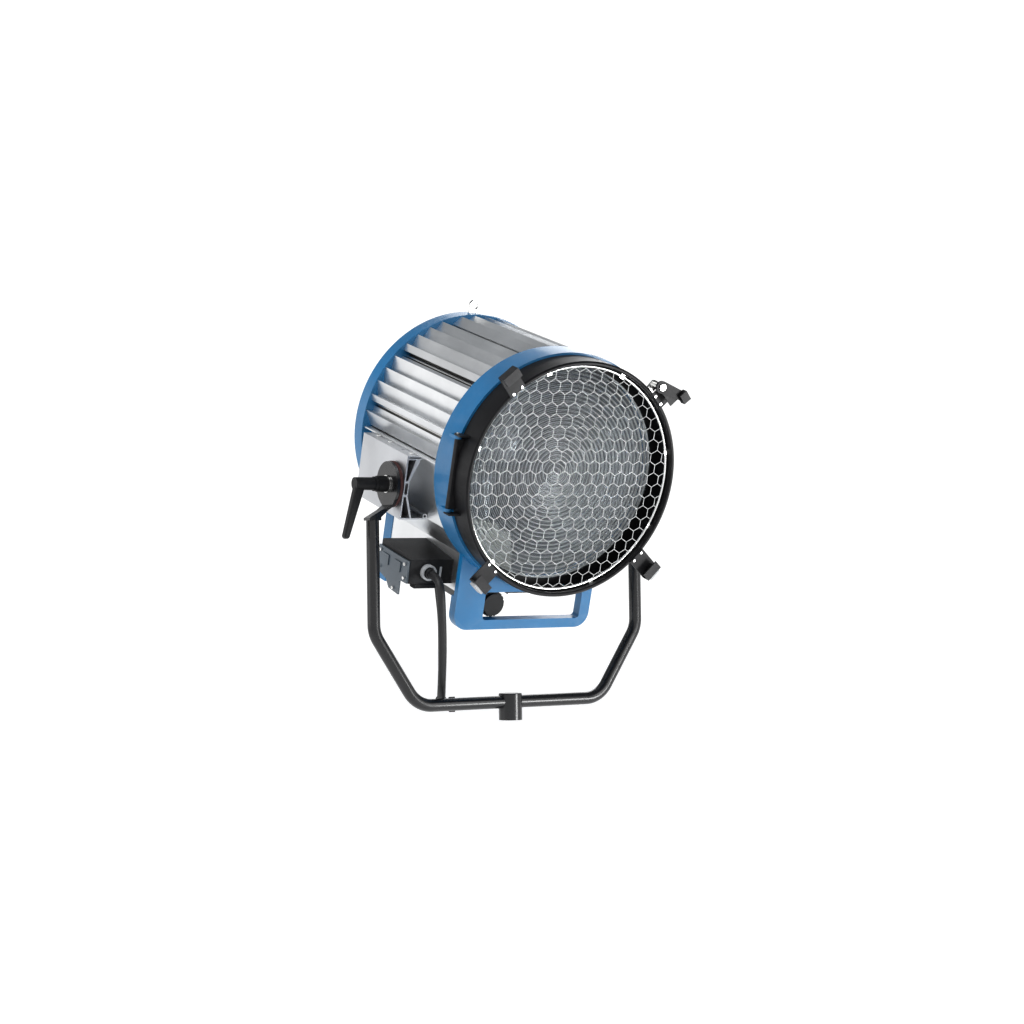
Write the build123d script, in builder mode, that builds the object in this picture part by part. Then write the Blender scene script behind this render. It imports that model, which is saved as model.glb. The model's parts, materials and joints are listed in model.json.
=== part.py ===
from build123d import *
import os
from math import cos, degrees, hypot, pi, radians, sin, sqrt, tan

# Fresnel spotlight: a drum-shaped lamp head that tilts in a bent tube yoke.
# Row frame: origin at the mouth of the spigot socket under the yoke, +Z up, the lens
# looking along -Y, the tilt axis along X. At rest the head is tilted down by rest_tilt.
# Head sizes are given along three head directions: x across, f forward along the drum,
# u up at right angles to it. They count from the tilt axis, or for what is round the
# drum from the drum axis, which runs drum_rise above the tilt axis.

# ---------------------------------------------------------------- driving dimensions
bar_height = 35.5  # crossbar centreline above the spigot mouth
bar_drop = 426.0  # crossbar centreline below the tilt axis
tilt_height = bar_height + bar_drop
rest_tilt = 17.45  # degrees, front down
drum_rise = 70.2  # drum axis above the tilt axis

# clearances
running = 0.05  # radial, shaft in its bore
sliding = 0.4  # between pieces that move past each other
seat = 0.2  # between pieces that fit into each other

# yoke
tube_radius = 12.5
tube_wall = 2.5
arm_x = 300.0  # centreline of each upright arm
arm_bend_drop = 285.0  # below the tilt axis
corner_x = 208.5
bend_radius = 58.0
arm_top_drop = 70.0  # top of the tube below the tilt axis
plate_thickness = 6.0
plate_inner_x = 262.0
plate_radius = 43.6
plate_neck_drop = 46.0
plate_neck_half = 11.5
sleeve_radius = 23.0
sleeve_above_bar = 17.0
socket_radius = 14.3
socket_depth = 45.0
clamp_screw_radius = 5.0
clamp_screw_height = 16.0

# tilt pivots
stud_radius = 8.0
flange_radius = 40.0
flange_thickness = 4.0
friction_radius = 44.5

# drum
drum_rear = -228.0
rear_seam = -196.0
front_seam = 112.0
frame_front = 172.4
casting_radius = 233.5
frame_bore = 219.5
sheet = 2.4
blade_tip = 231.0
blade_root = 215.5
blade_pitch = 7.35  # degrees
blade_first_tips = (95.4, 111.4, 142.0, 172.5)  # first tip of each bank, degrees
bank_lead = 3.0  # degrees of low wall above a bank's first tip
liner_radius = 206.5
liner_wall = 2.5
lower_radius = 229.0
base_half = 135.0
base_floor = -190.0  # u of the floor's underside
foot_bottom = -256.0
foot_half = 153.0
foot_front = 125.0
foot_bar = 19.0
window_left = -90.0
window_right = 131.0
window_top = -181.0
rear_wall = 4.0

# side rails
rail_outer = 252.0
rail_top = 65.0
rail_bottom = -60.0
rail_front = 38.0
rail_rear = -150.0
rail_wall = 3.0

# lens door
door_back = 173.4
door_front = 231.0
door_radius = 229.0
door_wall = 8.0
door_lip = 208.5
lens_radius = 212.0
lens_back = 160.0
lens_body = 6.0
lens_ridge = 5.5
ridge_pitch = 8.0
cell_wall = 5.5
hinge_x = 232.0
hinge_f = 178.5
hinge_u = -2.7  # middle of the hinge, from the drum axis
hinge_half = 69.7  # from the middle to each knuckle's centre
knuckle_height = 6.0
pin_radius = 3.0
guard_radius = 217.0
guard_wire = 2.75
guard_f = 216.0
mesh_pitch = 25.4
mesh_wire = 1.3

# accessory brackets, angle from +x round the drum axis in degrees
bracket_angles = (-132.0, -41.0, 132.0)
lock_angle = 45.0
bracket_width = 36.0
bracket_reach = 278.0
bracket_front = 252.0
bracket_sheet = 3.0

# focus drive
spindle_x = -61.0
spindle_u = -210.5
spindle_radius = 6.0
knob_radius = 26.0
knob_length = 35.0
rod_x = 100.0
rod_u = -150.0
rod_radius = 6.0
lamp_f = -10.0
globe_radius = 62.0
mirror_radius = 105.0

# connector box
box_outer = 228.0
box_rear = -60.0
box_front = 63.0
box_bottom = -181.0
box_top = -133.0
box_rear_top = -123.0
gland_x = -190.0
gland_u = -157.0
gland_radius = 15.5
gland_length = 10.0

# cable
cable_radius = 8.0
coil_x = 97.0
coil_u = -70.0
coil_mid_radius = 88.0
coil_front = drum_rear - 8.0
coil_layers = 2
plug_radius = 27.0
plug_length = 100.0

# ---------------------------------------------------------------- head directions
tilt = radians(rest_tilt)
ACROSS = Vector(1, 0, 0)
AHEAD = Vector(0, -cos(tilt), -sin(tilt))
ALOFT = Vector(0, -sin(tilt), cos(tilt))


def head_point(x, f, u):
    """A place in the head, from the tilt axis."""
    return Vector(0, 0, tilt_height) + ACROSS * x + AHEAD * f + ALOFT * u


def across(f, u=0.0, x=0.0):
    """Plane square to the drum: local x is across, local y is up, normal forward."""
    return Plane(origin=head_point(x, f, u), x_dir=ACROSS, z_dir=AHEAD)


def beside(x, f=0.0, u=0.0):
    """Upright plane along the drum: local x is forward, local y is up, normal to -x."""
    return Plane(origin=head_point(x, f, u), x_dir=AHEAD, z_dir=-ACROSS)


def over(u, x=0.0, f=0.0):
    """Plane along the drum: local x is across, local y is backward, normal up."""
    return Plane(origin=head_point(x, f, u), x_dir=ACROSS, z_dir=ALOFT)


def drum(f):
    """Plane square to the drum with its origin on the drum axis."""
    return across(f, drum_rise)


def save(piece, name):
    """Label a finished piece and write its STEP file."""
    piece.part.label = name
    export_step(piece.part, f"parts/{name}.step")


def polar(radius, angle):
    """A point at an angle in degrees from local x."""
    return (radius * cos(radians(angle)), radius * sin(radians(angle)))


drum_axis = Axis(head_point(0, 0, drum_rise), AHEAD)
os.makedirs("parts", exist_ok=True)

# ================================================================ yoke
bar_z = bar_height
tube_top = tilt_height - arm_top_drop
bend_z = tilt_height - arm_bend_drop
sleeve_top = bar_z + sleeve_above_bar
tube_route = [
    (-arm_x, tube_top),
    (-arm_x, bend_z),
    (-corner_x, bar_z),
    (corner_x, bar_z),
    (arm_x, bend_z),
    (arm_x, tube_top),
]

with BuildPart() as yoke_tube:
    with BuildLine(Plane.XZ):
        FilletPolyline(*tube_route, radius=bend_radius)
    with BuildSketch(Plane(origin=(-arm_x, 0, tube_top), z_dir=(0, 0, -1))):
        Circle(tube_radius)
        Circle(tube_radius - tube_wall, mode=Mode.SUBTRACT)
    sweep()
    with BuildSketch(Plane.XY):
        Circle(sleeve_radius)
    extrude(amount=2 * sleeve_top, mode=Mode.SUBTRACT)
save(yoke_tube, "yoke_tube")

with BuildPart() as spigot_sleeve:
    with BuildSketch(Plane.XY):
        Circle(sleeve_radius)
    extrude(amount=sleeve_top)
    chamfer(spigot_sleeve.edges().group_by(Axis.Z)[-1], 1.5)
    with BuildSketch(Plane.XY):
        Circle(socket_radius)
    extrude(amount=socket_depth, mode=Mode.SUBTRACT)
    with BuildSketch(Plane(origin=(0, 0, clamp_screw_height), z_dir=(0, 1, 0))):
        Circle(clamp_screw_radius)
    extrude(amount=sleeve_radius + 1, mode=Mode.SUBTRACT)
save(spigot_sleeve, "spigot_sleeve")

screw_head_radius = 1.8 * clamp_screw_radius
with BuildPart() as spigot_screw:
    with BuildSketch(Plane(origin=(0, socket_radius + 0.5, clamp_screw_height), z_dir=(0, 1, 0))):
        Circle(clamp_screw_radius - running)
    extrude(amount=sleeve_radius - socket_radius + 3)
    with BuildSketch(Plane(origin=(0, sleeve_radius + 3, clamp_screw_height), z_dir=(0, 1, 0))):
        RegularPolygon(screw_head_radius, 6)
    extrude(amount=7)
save(spigot_screw, "spigot_screw")

plate_outer_x = plate_inner_x + plate_thickness
cap_z = tube_top + plate_thickness
with BuildPart() as yoke_plates:
    with BuildSketch(Plane.XZ) as plate_side:
        with BuildLine():
            Polyline(
                (-plate_inner_x, tilt_height + plate_radius + 1),
                (-plate_inner_x, tilt_height - plate_neck_drop + 4),
                (-arm_x + tube_radius, cap_z),
                (-arm_x + tube_radius, tube_top),
                (-arm_x - tube_radius, tube_top),
                (-arm_x - tube_radius, cap_z - 1),
                (-plate_outer_x, tilt_height - plate_neck_drop + 6),
                (-plate_outer_x, tilt_height + plate_radius + 1),
                close=True,
            )
        make_face()
    extrude(amount=plate_radius + 5, both=True)
    with BuildSketch(Plane(origin=(-arm_x - 20, 0, tilt_height), x_dir=(0, 1, 0), z_dir=(1, 0, 0))):
        Circle(plate_radius)
        with Locations((0, -plate_neck_drop)):
            Circle(plate_neck_half)
        make_hull()
        with Locations((0, -(plate_neck_drop + arm_top_drop) / 2)):
            Rectangle(2 * tube_radius, arm_top_drop - plate_neck_drop)
        Circle(stud_radius + running, mode=Mode.SUBTRACT)
    extrude(amount=arm_x, mode=Mode.INTERSECT)
    mirror(about=Plane.YZ)
save(yoke_plates, "yoke_plates")

# ================================================================ tilt pivots
flange_x = rail_outer + flange_thickness
disc_outer_x = plate_inner_x - sliding


def axle_disc(x_from, x_to, radius, bore):
    """A ring about the tilt axis between two distances to the left."""
    with BuildPart() as ring:
        with BuildSketch(beside(-x_from)):
            Circle(radius)
            Circle(bore, mode=Mode.SUBTRACT)
        extrude(amount=x_to - x_from)
        mirror(about=Plane.YZ)
    return ring


pivot_flanges = axle_disc(rail_outer, flange_x, flange_radius, stud_radius + running)
save(pivot_flanges, "pivot_flanges")
friction_discs = axle_disc(flange_x, disc_outer_x, friction_radius, stud_radius + running)
save(friction_discs, "friction_discs")

washer_thickness = 2.6
washer_x = plate_outer_x + sliding
hub_x = washer_x + washer_thickness + sliding
tee_half_u = 9.4
tee_half_f = 16.0
cavity_inner_x = rail_outer - rail_wall
stud_end_left = arm_x + 26.0


def pivot_stud(end_x):
    """Tee-headed stud through the rail's middle cavity, on the left side."""
    with BuildPart() as stud:
        with BuildSketch(beside(-cavity_inner_x + 5.6)):
            Rectangle(2 * tee_half_f, 2 * tee_half_u)
        extrude(amount=5.6)
        with BuildSketch(beside(-cavity_inner_x)):
            Circle(stud_radius)
        extrude(amount=end_x - cavity_inner_x)
    return stud


nut_x = washer_x + washer_thickness
nut_height = 13.0
stud_end_right = nut_x + nut_height + 4
stud_left = pivot_stud(stud_end_left)
stud_right = pivot_stud(stud_end_right)
with BuildPart() as tilt_studs:
    mirror(stud_right.part, about=Plane.YZ)
    add(stud_left.part)
save(tilt_studs, "tilt_studs")

# a washer on each stud, and the lock nut on the right one
with BuildPart() as pivot_washers:
    with BuildSketch(beside(-washer_x)):
        Circle(17.0)
        Circle(stud_radius + running, mode=Mode.SUBTRACT)
    extrude(amount=washer_thickness)
    mirror(about=Plane.YZ)
    with BuildSketch(beside(nut_x)):
        RegularPolygon(14.5, 6)
        Circle(stud_radius + running, mode=Mode.SUBTRACT)
    extrude(amount=-nut_height)
save(pivot_washers, "pivot_washers")

lever_hub_end = arm_x + 38.0
lever_tip_x = -(arm_x + 57.0)
lever_tip_drop = 99.0
with BuildPart() as tilt_lever:
    with BuildSketch(Plane.XZ.offset(-7.5)):
        with Locations((-lever_hub_end + 11, tilt_height - 2)):
            Circle(10)
        with Locations((lever_tip_x, tilt_height - lever_tip_drop)):
            Circle(5.8)
        make_hull()
    extrude(amount=15)
    fillet(tilt_lever.edges(), 3)
    with BuildSketch(beside(-hub_x)):
        Circle(15.5)
    extrude(amount=19)
    with BuildSketch(beside(-hub_x - 19)):
        Circle(14.0)
    extrude(amount=7)
    with BuildSketch(beside(-hub_x - 26)):
        Circle(12.3)
    extrude(amount=lever_hub_end - hub_x - 26)
    with BuildSketch(beside(-hub_x)):
        Circle(stud_radius + running)
    extrude(amount=stud_end_left - hub_x + 1, mode=Mode.SUBTRACT)
save(tilt_lever, "tilt_lever")

# ================================================================ front frame casting
window_bottom = foot_bottom + foot_bar
loop_top = base_floor - 1.0
pin_at = (-hinge_x, -hinge_f)
knuckle_low = -hinge_half - knuckle_height / 2
lug_radius = 7.0
with BuildPart() as front_frame:
    with BuildSketch(drum(front_seam)):
        Circle(casting_radius)
        Circle(frame_bore, mode=Mode.SUBTRACT)
    extrude(amount=frame_front - front_seam)
    with BuildSketch(drum(front_seam)):
        Circle(frame_bore + 1)
        Circle(liner_radius - liner_wall - 1, mode=Mode.SUBTRACT)
    extrude(amount=5)
    with BuildSketch(across(front_seam)):
        with Locations((0, foot_bottom / 2 - 50)):
            RectangleRounded(2 * foot_half, -foot_bottom - 100, 30)
        with Locations((0, -120)):
            Rectangle(2 * foot_half, 40)
        with Locations((0, drum_rise)):
            Circle(frame_bore, mode=Mode.SUBTRACT)
        with Locations(((window_left + window_right) / 2, (window_top + window_bottom) / 2)):
            RectangleRounded(window_right - window_left, window_top - window_bottom, 7, mode=Mode.SUBTRACT)
    extrude(amount=foot_front - front_seam)
    with BuildSketch(across(front_seam)):
        with Locations((0, foot_bottom / 2 - 50)):
            RectangleRounded(2 * foot_half, -foot_bottom - 100, 30)
        with Locations((0, loop_top / 2)):
            Rectangle(2 * foot_half + 2, -loop_top, mode=Mode.SUBTRACT)
        with Locations(((window_left + window_right) / 2, (window_top + window_bottom) / 2)):
            RectangleRounded(window_right - window_left, window_top - window_bottom, 7, mode=Mode.SUBTRACT)
    extrude(amount=-9)
    for centre in (hinge_half, -hinge_half):
        with BuildSketch(over(drum_rise + hinge_u + centre - knuckle_height / 2)):
            with Locations(pin_at):
                Circle(lug_radius)
            with Locations((-hinge_x + 1.5, -hinge_f + 10)):
                Rectangle(2 * lug_radius + 3, 20)
        extrude(amount=knuckle_height)
    with BuildSketch(over(drum_rise + hinge_u - hinge_half - knuckle_height)):
        with Locations(pin_at):
            Circle(pin_radius + running)
    extrude(amount=2 * (hinge_half + knuckle_height), mode=Mode.SUBTRACT)
save(front_frame, "front_frame")

# ================================================================ rear cover casting
rear_window_left = -25.0
rear_window_right = 110.0
rear_window_top = -200.0
vent_rows = 6
vent_pitch = 17.0
rear_height = drum_rise - foot_bottom
eye_x = -5.0
eye_f = -216.0
eye_radius = 6.5
eye_height = 14.0
eye_thickness = 8.0
coil_thickness = coil_layers * 2 * cable_radius
coil_outer = coil_mid_radius + 2 * cable_radius
coil_inner = coil_mid_radius - 2 * cable_radius
hook_half = 20.0
hook_thickness = 5.0
hook_lip = 14.0
hook_top = coil_u + sqrt(coil_inner**2 - hook_half**2) - seat
hook_reach = coil_front - coil_thickness - 6
pocket_height = drum_rise - base_floor - 2
with BuildPart() as rear_cover:
    with BuildSketch(drum(drum_rear)):
        Circle(casting_radius - 0.5)
        with Locations((0, -rear_height / 2)):
            Rectangle(2 * base_half + 2, rear_height)
    extrude(amount=rear_seam - drum_rear)
    with BuildSketch(drum(drum_rear + rear_wall)):
        Circle(casting_radius - rear_wall - 0.5)
        with Locations((0, -pocket_height / 2)):
            Rectangle(2 * (base_half - rear_wall), pocket_height)
    extrude(amount=rear_seam - drum_rear, mode=Mode.SUBTRACT)
    with BuildSketch(drum(rear_seam)):
        Circle(casting_radius - 0.5)
        Circle(liner_radius - liner_wall - 1, mode=Mode.SUBTRACT)
        with Locations((0, -casting_radius)):
            Rectangle(2 * (base_half - rear_wall), 2 * casting_radius - 150, mode=Mode.SUBTRACT)
    extrude(amount=-rear_wall)
    with BuildSketch(across(drum_rear)):
        with Locations(
            ((rear_window_left + rear_window_right) / 2, (rear_window_top + foot_bottom + foot_bar) / 2)
        ):
            RectangleRounded(
                rear_window_right - rear_window_left, rear_window_top - foot_bottom - foot_bar, 8
            )
        with Locations((spindle_x, spindle_u)):
            Circle(spindle_radius + running)
    extrude(amount=rear_seam - drum_rear, mode=Mode.SUBTRACT)
    with BuildSketch(drum(drum_rear)):
        with Locations((-62, 112), (62, 112)):
            with GridLocations(0, vent_pitch, 1, vent_rows):
                SlotOverall(104, 7.5)
    extrude(amount=rear_wall, mode=Mode.SUBTRACT)
    with BuildSketch(beside(coil_x + hook_half)):
        with BuildLine():
            Polyline(
                (drum_rear, hook_top + 24),
                (drum_rear, hook_top - hook_thickness),
                (hook_reach - hook_thickness, hook_top - hook_thickness),
                (hook_reach - hook_thickness, hook_top + hook_lip),
                (hook_reach, hook_top + hook_lip),
                (hook_reach, hook_top),
                (drum_rear - hook_thickness, hook_top),
                (drum_rear - hook_thickness, hook_top + 24),
                close=True,
            )
        make_face()
    extrude(amount=2 * hook_half)
save(rear_cover, "rear_cover")

# ================================================================ drum skins
skin_length = front_seam - rear_seam
blade_arc = radians(blade_pitch) * (blade_tip + blade_root) / 2
blade_slope = (blade_tip - blade_root) / blade_arc
skin_drop = sheet * hypot(1, blade_slope)
riser = degrees(sheet / blade_tip)


def bank_outline(lead, tips, end):
    """Closed outline of one bank: a saw-toothed sheet between two angles."""
    tooth_gap = 0.25
    outer = [polar(blade_root, lead)]
    inner = [polar(blade_root - sheet, lead)]
    for number in range(tips):
        tip_angle = lead + bank_lead + number * blade_pitch
        next_angle = min(tip_angle + blade_pitch - tooth_gap, end)
        fall = (next_angle - tip_angle) / blade_pitch * (blade_tip - blade_root)
        start_fall = (riser + tooth_gap) / blade_pitch * (blade_tip - blade_root)
        outer += [polar(blade_root, tip_angle - tooth_gap)] if number == 0 else []
        outer += [polar(blade_tip, tip_angle), polar(blade_tip - fall, next_angle)]
        inner += [polar(blade_root - sheet, tip_angle + riser)] if number == 0 else []
        inner += [polar(blade_tip - start_fall - skin_drop, tip_angle + riser)]
        inner += [polar(blade_tip - fall - skin_drop, next_angle + (riser if next_angle < end else 0))]
    return outer + inner[::-1]


def louvre_bank(lead, tips, end):
    """One bank of blades, from seam to seam."""
    with BuildPart() as bank:
        with BuildSketch(drum(rear_seam)):
            with BuildLine():
                Polyline(*bank_outline(lead, tips, end), close=True)
            make_face()
        extrude(amount=skin_length)
    return bank


bank_leads = [tip - bank_lead for tip in blade_first_tips[1:]]
bank_ends = [136.6, 167.1, 180.3]
bank_tips = [4, 4, 1]
bank_names = ["upper", "middle", "lower"]
for lead, end, tips, name in zip(bank_leads, bank_ends, bank_tips, bank_names):
    left_bank = louvre_bank(lead, tips, end)
    with BuildPart() as both_banks:
        add(left_bank.part)
        mirror(left_bank.part, about=Plane.YZ)
    save(both_banks, f"louvres_{name}")

top_end = 105.9
with BuildPart() as louvre_top:
    with BuildSketch(drum(rear_seam)):
        with BuildLine():
            Polyline(*bank_outline(90, 2, top_end), close=True)
        make_face()
    extrude(amount=skin_length)
    mirror(about=Plane.YZ)
save(louvre_top, "louvres_top")

with BuildPart() as heat_liner:
    with BuildSketch(drum(rear_seam)):
        Circle(liner_radius)
        Circle(liner_radius - liner_wall, mode=Mode.SUBTRACT)
        with Locations((0, -liner_radius)):
            Rectangle(2 * base_half - 20, liner_radius, mode=Mode.SUBTRACT)
    extrude(amount=skin_length)
save(heat_liner, "heat_liner")

tie_radius = 3.0
tie_angles = (12.0, 42.7, 73.0, 107.0, 137.3, 168.0)
with BuildPart() as tie_rods:
    with BuildSketch(drum(rear_seam)):
        for angle in tie_angles:
            with Locations(polar(liner_radius + tie_radius + 0.4, angle)):
                Circle(tie_radius)
    extrude(amount=skin_length)
save(tie_rods, "tie_rods")

# side skin: hollow towards the drum, with a flange over and under the rail
skin_edge_x = 229.0
skin_top_x = 211.0
skin_mid_x = 203.0
skin_low_x = 190.0
flange_top = rail_top + 0.2
with BuildPart() as side_skins:
    with BuildSketch(across(rear_seam)):
        with BuildLine():
            Polyline(
                (-skin_top_x, flange_top),
                (-skin_edge_x, flange_top),
                (-skin_edge_x, flange_top + sheet),
            )
            Line((-skin_edge_x, flange_top + sheet), (-skin_top_x + sheet, flange_top + sheet))
            ThreePointArc(
                (-skin_top_x + sheet, flange_top + sheet),
                (-skin_mid_x + sheet, 0),
                (-skin_low_x + sheet, rail_bottom + 1),
            )
            Line((-skin_low_x + sheet, rail_bottom + 1), (-skin_low_x, rail_bottom + 1))
            ThreePointArc((-skin_low_x, rail_bottom + 1), (-skin_mid_x, 0), (-skin_top_x, flange_top))
        make_face()
    extrude(amount=skin_length)
    mirror(about=Plane.YZ)
save(side_skins, "side_skins")

# rails: extrusions with three cavities, a waist and flanges over and under the skin
waist = 10.0
web_half = 14.0
top_reach = 214.0
low_reach = 193.0
low_waist_x = 227.0
boss_radius = 4.6
with BuildPart() as rails:
    with BuildSketch(across(rail_rear)):
        with BuildLine():
            Polyline(
                (-rail_outer, rail_top),
                (-top_reach, rail_top),
                (-top_reach, rail_top - rail_wall),
                (-top_reach - 9, rail_top - rail_wall - 4),
                (-rail_outer + waist + 1, web_half),
                (-rail_outer + waist + 1, -web_half),
                (-low_waist_x, rail_bottom + rail_wall),
                (-low_reach, rail_bottom + rail_wall),
                (-low_reach, rail_bottom),
                (-rail_outer, rail_bottom),
                close=True,
            )
        make_face()
        inner_x = -rail_outer + rail_wall
        with BuildLine():
            Polyline(
                (inner_x, rail_top - 8),
                (-top_reach - 19, rail_top - 8),
                (-rail_outer + waist - 2.5, web_half + 1.5),
                (inner_x, web_half + 1.5),
                close=True,
            )
        make_face(mode=Mode.SUBTRACT)
        with Locations((-rail_outer + rail_wall + 3, 0)):
            Rectangle(6, 2 * web_half - 6, mode=Mode.SUBTRACT)
        with BuildLine():
            Polyline(
                (inner_x, rail_bottom + rail_wall),
                (-low_waist_x - 4, rail_bottom + rail_wall),
                (-rail_outer + waist - 2.5, -web_half - 1.5),
                (inner_x, -web_half - 1.5),
                close=True,
            )
        make_face(mode=Mode.SUBTRACT)
        with Locations((-rail_outer + 17, rail_top - 4)):
            Rectangle(26, 2.4, mode=Mode.SUBTRACT)
        with Locations((-low_reach - boss_radius, rail_bottom + rail_wall + boss_radius - 1)):
            Circle(boss_radius)
        with Locations((-low_reach - boss_radius, rail_bottom + rail_wall + boss_radius - 1)):
            Circle(boss_radius - 2, mode=Mode.SUBTRACT)
    extrude(amount=rail_front - rail_rear)
    with BuildSketch(beside(-rail_outer)):
        Circle(stud_radius + running)
    extrude(amount=-rail_wall, mode=Mode.SUBTRACT)
    with BuildSketch(over(rail_top)):
        with Locations((-rail_outer + 17, 14)):
            Circle(4)
    extrude(amount=-2.5, mode=Mode.SUBTRACT)
    mirror(about=Plane.YZ)
save(rails, "rails")

# lower skins: round the drum below the rail, then straight down the base
lower_top = rail_bottom - 0.2 - drum_rise
wall_low = base_floor - drum_rise
with BuildPart() as lower_skins:
    with BuildSketch(drum(rear_seam)):
        Circle(lower_radius)
        Circle(lower_radius - sheet, mode=Mode.SUBTRACT)
        with Locations((-lower_radius / 2 - base_half / 2, lower_top / 2 - lower_radius / 2)):
            Rectangle(lower_radius - base_half + 2 * sheet, lower_radius + lower_top, mode=Mode.INTERSECT)
        with Locations((-base_half + sheet / 2, (wall_low - 183) / 2)):
            Rectangle(sheet, -wall_low - 183)
    extrude(amount=skin_length)
    mirror(about=Plane.YZ)
save(lower_skins, "lower_skins")

channel_front = 74.0
nut_slot_half = 8.0
nut_slot_rear = -110.0
nut_slot_front = 70.0
with BuildPart() as floor_plate:
    with BuildSketch(over(base_floor)):
        with Locations((0, -(front_seam + rear_seam) / 2)):
            Rectangle(2 * (base_half - sheet), skin_length)
        with Locations((spindle_x, -(nut_slot_front + nut_slot_rear) / 2)):
            Rectangle(2 * nut_slot_half, nut_slot_front - nut_slot_rear, mode=Mode.SUBTRACT)
        with Locations((spindle_x, -(front_seam + channel_front) / 2)):
            Rectangle(2 * knob_radius + 6, front_seam - channel_front, mode=Mode.SUBTRACT)
        with Locations((45, -(front_seam + rear_seam) / 2)):
            with GridLocations(0, 24, 1, 8):
                SlotOverall(110, 8, mode=Mode.SUBTRACT)
    extrude(amount=sheet)
save(floor_plate, "floor_plate")

channel_wall = 3.0
channel_half = 20.0
channel_low = spindle_u - 21.0
with BuildPart() as spindle_channel:
    with BuildSketch(across(rear_seam, x=spindle_x)):
        with Locations((0, (base_floor + channel_low) / 2)):
            Rectangle(2 * channel_half, base_floor - channel_low)
    extrude(amount=channel_front - rear_seam)
    with BuildSketch(across(rear_seam, x=spindle_x)):
        with Locations((0, (base_floor + channel_low + channel_wall) / 2)):
            Rectangle(2 * (channel_half - channel_wall), base_floor - channel_low - channel_wall)
    extrude(amount=channel_front - rear_seam - 8, mode=Mode.SUBTRACT)
    with BuildSketch(across(channel_front, spindle_u, spindle_x)):
        Circle(spindle_radius + running)
    extrude(amount=-10, mode=Mode.SUBTRACT)
save(spindle_channel, "spindle_channel")

with BuildPart() as eye_lug:
    with BuildSketch(across(eye_f)):
        with Locations((eye_x, drum_rise + casting_radius + eye_height)):
            Circle(2 * eye_radius)
        with Locations((eye_x, drum_rise + casting_radius + eye_height / 2 - 1)):
            Rectangle(4 * eye_radius, eye_height)
        with Locations((eye_x, drum_rise + casting_radius + eye_height)):
            Circle(eye_radius, mode=Mode.SUBTRACT)
        with Locations((0, drum_rise)):
            Circle(casting_radius - 0.5, mode=Mode.SUBTRACT)
    extrude(amount=eye_thickness)
save(eye_lug, "eye_lug")

# ================================================================ lens door
door_profile = [
    (door_back, door_radius),
    (door_front - 3, door_radius),
    (door_front, door_radius - 3),
    (door_front, door_radius - 6),
    (door_front - 2, door_radius - door_wall),
    (door_back + 4, door_radius - door_wall),
    (door_back + 4, door_lip),
    (door_back, door_lip),
]
cell_outer = lens_radius + seat + cell_wall


def turned(name, points):
    """A ring turned about the drum axis from (f, radius) points."""
    with BuildPart() as ring:
        with BuildSketch(beside(0, 0, drum_rise)):
            with BuildLine():
                Polyline(*points, close=True)
            make_face()
        revolve(axis=drum_axis)
    save(ring, name)
    return ring


door_ring = turned("door_ring", door_profile)
lens_cell = turned(
    "lens_cell",
    [
        (lens_back - 2, lens_radius + seat),
        (door_back, lens_radius + seat),
        (door_back, cell_outer),
        (lens_back - 2, cell_outer),
    ],
)
lens_retainer = turned(
    "lens_retainer",
    [
        (lens_back - 4.5, lens_radius - 6),
        (lens_back - 4.5, cell_outer),
        (lens_back - 2, cell_outer),
        (lens_back - 2, lens_radius - 6),
    ],
)
ridge_count = int((lens_radius - 4) / ridge_pitch)
lens_points = [(lens_back, 0), (lens_back + lens_body + lens_ridge, 0)]
for ridge in range(1, ridge_count + 1):
    edge = ridge * ridge_pitch
    depth = lens_ridge * min(1.0, 0.25 + ridge / ridge_count)
    lens_points += [
        (lens_back + lens_body + lens_ridge - depth, edge),
        (lens_back + lens_body + lens_ridge, edge + 0.6),
    ]
lens_points += [
    (lens_back + lens_body + lens_ridge, lens_radius),
    (lens_back, lens_radius),
]
fresnel_lens = turned("fresnel_lens", lens_points)

leaf_tab = 3.0
tab_reach = 205.0
tab_low = knuckle_height / 2 + sliding
with BuildPart() as hinge_leaf:
    for base in (hinge_half + tab_low, -hinge_half - tab_low - leaf_tab):
        with BuildSketch(over(drum_rise + hinge_u + base)):
            with Locations(pin_at):
                Circle(lug_radius)
            with Locations((-(hinge_x + lug_radius + tab_reach) / 2, -hinge_f - 9.5)):
                Rectangle(hinge_x + lug_radius - tab_reach, 19)
        extrude(amount=leaf_tab)
    barrel_half = hinge_half - tab_low
    with BuildSketch(over(drum_rise + hinge_u - barrel_half)):
        with Locations(pin_at):
            Circle(5.1)
        with Locations((-(hinge_x + 200) / 2 - 2, -hinge_f - 3.1)):
            Rectangle(hinge_x - 200, 4)
    extrude(amount=2 * barrel_half)
    with BuildSketch(over(drum_rise + hinge_u - hinge_half - 10)):
        with Locations(pin_at):
            Circle(pin_radius + running)
    extrude(amount=2 * hinge_half + 20, mode=Mode.SUBTRACT)
    with BuildSketch(drum(front_seam)):
        Circle(door_radius + 0.1)
    extrude(amount=200, mode=Mode.SUBTRACT)
save(hinge_leaf, "hinge_leaf")

pin_over = hinge_half + tab_low + leaf_tab + 2
with BuildPart() as hinge_pin:
    with BuildSketch(over(drum_rise + hinge_u - pin_over)):
        with Locations(pin_at):
            Circle(pin_radius)
    extrude(amount=2 * pin_over)
save(hinge_pin, "hinge_pin")

# guard: bright wire ring, hexagon netting and the clips that hold it
with BuildPart() as guard_ring:
    with BuildSketch(beside(0, 0, drum_rise)):
        with Locations((guard_f, guard_radius)):
            Circle(guard_wire)
    revolve(axis=drum_axis)
save(guard_ring, "guard_ring")

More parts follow.
